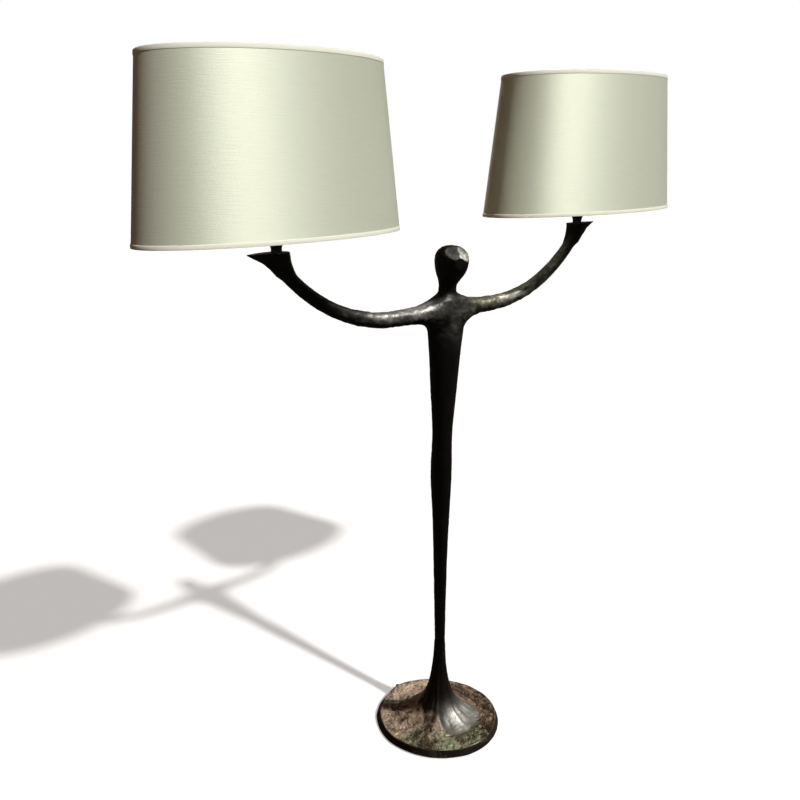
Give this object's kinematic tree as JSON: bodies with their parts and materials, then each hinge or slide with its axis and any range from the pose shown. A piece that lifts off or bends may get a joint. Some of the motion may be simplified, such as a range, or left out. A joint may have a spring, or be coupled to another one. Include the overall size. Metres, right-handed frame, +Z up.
{
  "type": "two-arm figure table lamp",
  "caption": "Tall cast-bronze lamp: a slender figure on a round base holds out both arms, each open palm carrying a lampholder with an oval silk shade that turns.",
  "frame": {"origin": "middle of the surface that the lamp stands on, under the figure's column", "axes": "+Z up, X along the outstretched arms, -Y the way the figure faces"},
  "size_m": [1.0288, 0.2284, 1.0943],
  "materials": {
    "bronze": "cast bronze with a near-black brown patina",
    "base_bronze": "rough cast bronze, brown patina with a worn greenish front",
    "felt": "black felt",
    "bush_plastic": "black moulded plastic",
    "block_plastic": "white moulded plastic",
    "lead_sheath": "sleeved lead",
    "steel": "plated steel",
    "contact_brass": "bare brass",
    "bakelite": "black moulded plastic, satin",
    "porcelain": "white glazed porcelain",
    "shade_silk": "ivory silk on a stiff backing, fine level slubs",
    "shade_trim": "ivory edging tape",
    "shade_frame": "white powder-coated wire",
    "bulb_cap_metal": "plain",
    "bulb_glass": "clear glass",
    "bulb_stem": "pale filament carrier"
  },
  "bodies": {
    "stand": {"base_disc": "base_bronze", "base_felt": "felt", "inlet_bush": "bush_plastic", "foot_screws": "steel", "terminal_block": "block_plastic", "terminal_screws": "steel", "block_screw": "steel", "earth_tag": "contact_brass", "earth_screw": "steel", "figure_body": "bronze", "figure_head": "bronze", "head_screw": "steel", "shoulder_screws": "steel", "left_arm": "bronze", "right_arm": "bronze", "left_lead": "lead_sheath", "right_lead": "lead_sheath", "left_nipple": "contact_brass", "left_holder_cap": "bakelite", "left_holder_insert": "porcelain", "left_holder_shell": "bakelite", "left_screw_shell": "contact_brass", "left_shade_ring": "bakelite", "right_nipple": "contact_brass", "right_holder_cap": "bakelite", "right_holder_insert": "porcelain", "right_holder_shell": "bakelite", "right_screw_shell": "contact_brass", "right_shade_ring": "bakelite"},
    "left_shade": {"left_shade_panel": "shade_silk", "left_shade_top_trim": "shade_trim", "left_shade_bottom_trim": "shade_trim", "left_shade_top_wire": "shade_frame", "left_shade_bottom_wire": "shade_frame", "left_shade_fitter": "shade_frame"},
    "left_contact": {"left_centre_contact": "contact_brass"},
    "left_bulb": {"left_bulb_cap": "bulb_cap_metal", "left_bulb_glass": "bulb_glass", "left_bulb_stem": "bulb_stem"},
    "left_switch": {"left_switch_bar": "bakelite"},
    "right_shade": {"right_shade_panel": "shade_silk", "right_shade_top_trim": "shade_trim", "right_shade_bottom_trim": "shade_trim", "right_shade_top_wire": "shade_frame", "right_shade_bottom_wire": "shade_frame", "right_shade_fitter": "shade_frame"},
    "right_contact": {"right_centre_contact": "contact_brass"},
    "right_bulb": {"right_bulb_cap": "bulb_cap_metal", "right_bulb_glass": "bulb_glass", "right_bulb_stem": "bulb_stem"},
    "right_switch": {"right_switch_bar": "bakelite"}
  },
  "joints": [
    {"name": "left_shade_turn", "type": "hinge", "parent": "stand", "child": "left_shade", "pos_m": [-0.314, 0, 0.864], "axis": [0, 0, 1], "continuous": true},
    {"name": "left_contact_slide", "type": "slide", "parent": "stand", "child": "left_contact", "axis": [0, 0, 1], "range_m": [0, 0.003], "stiffness_N_per_m": 20, "springref_m": 0.01925},
    {"name": "left_bulb_turn", "type": "hinge", "parent": "left_contact", "child": "left_bulb", "pos_m": [-0.314, 0, 0.864], "axis": [0, 0, 1], "range_deg": [0, 270]},
    {"name": "left_switch_slide", "type": "slide", "parent": "stand", "child": "left_switch", "axis": [0, 1, 0], "range_m": [0, 0.006]},
    {"name": "right_shade_turn", "type": "hinge", "parent": "stand", "child": "right_shade", "pos_m": [0.314, 0, 0.864], "axis": [0, 0, 1], "continuous": true},
    {"name": "right_contact_slide", "type": "slide", "parent": "stand", "child": "right_contact", "axis": [0, 0, 1], "range_m": [0, 0.003], "stiffness_N_per_m": 20, "springref_m": 0.01925},
    {"name": "right_bulb_turn", "type": "hinge", "parent": "right_contact", "child": "right_bulb", "pos_m": [0.314, 0, 0.864], "axis": [0, 0, 1], "range_deg": [0, 270]},
    {"name": "right_switch_slide", "type": "slide", "parent": "stand", "child": "right_switch", "axis": [0, 1, 0], "range_m": [0, 0.006]}
  ],
  "couplings": [
    {"joint": "left_contact_slide", "follows": "left_bulb_turn", "m_per_rad": 0.000578},
    {"joint": "right_contact_slide", "follows": "right_bulb_turn", "m_per_rad": 0.000578}
  ]
}
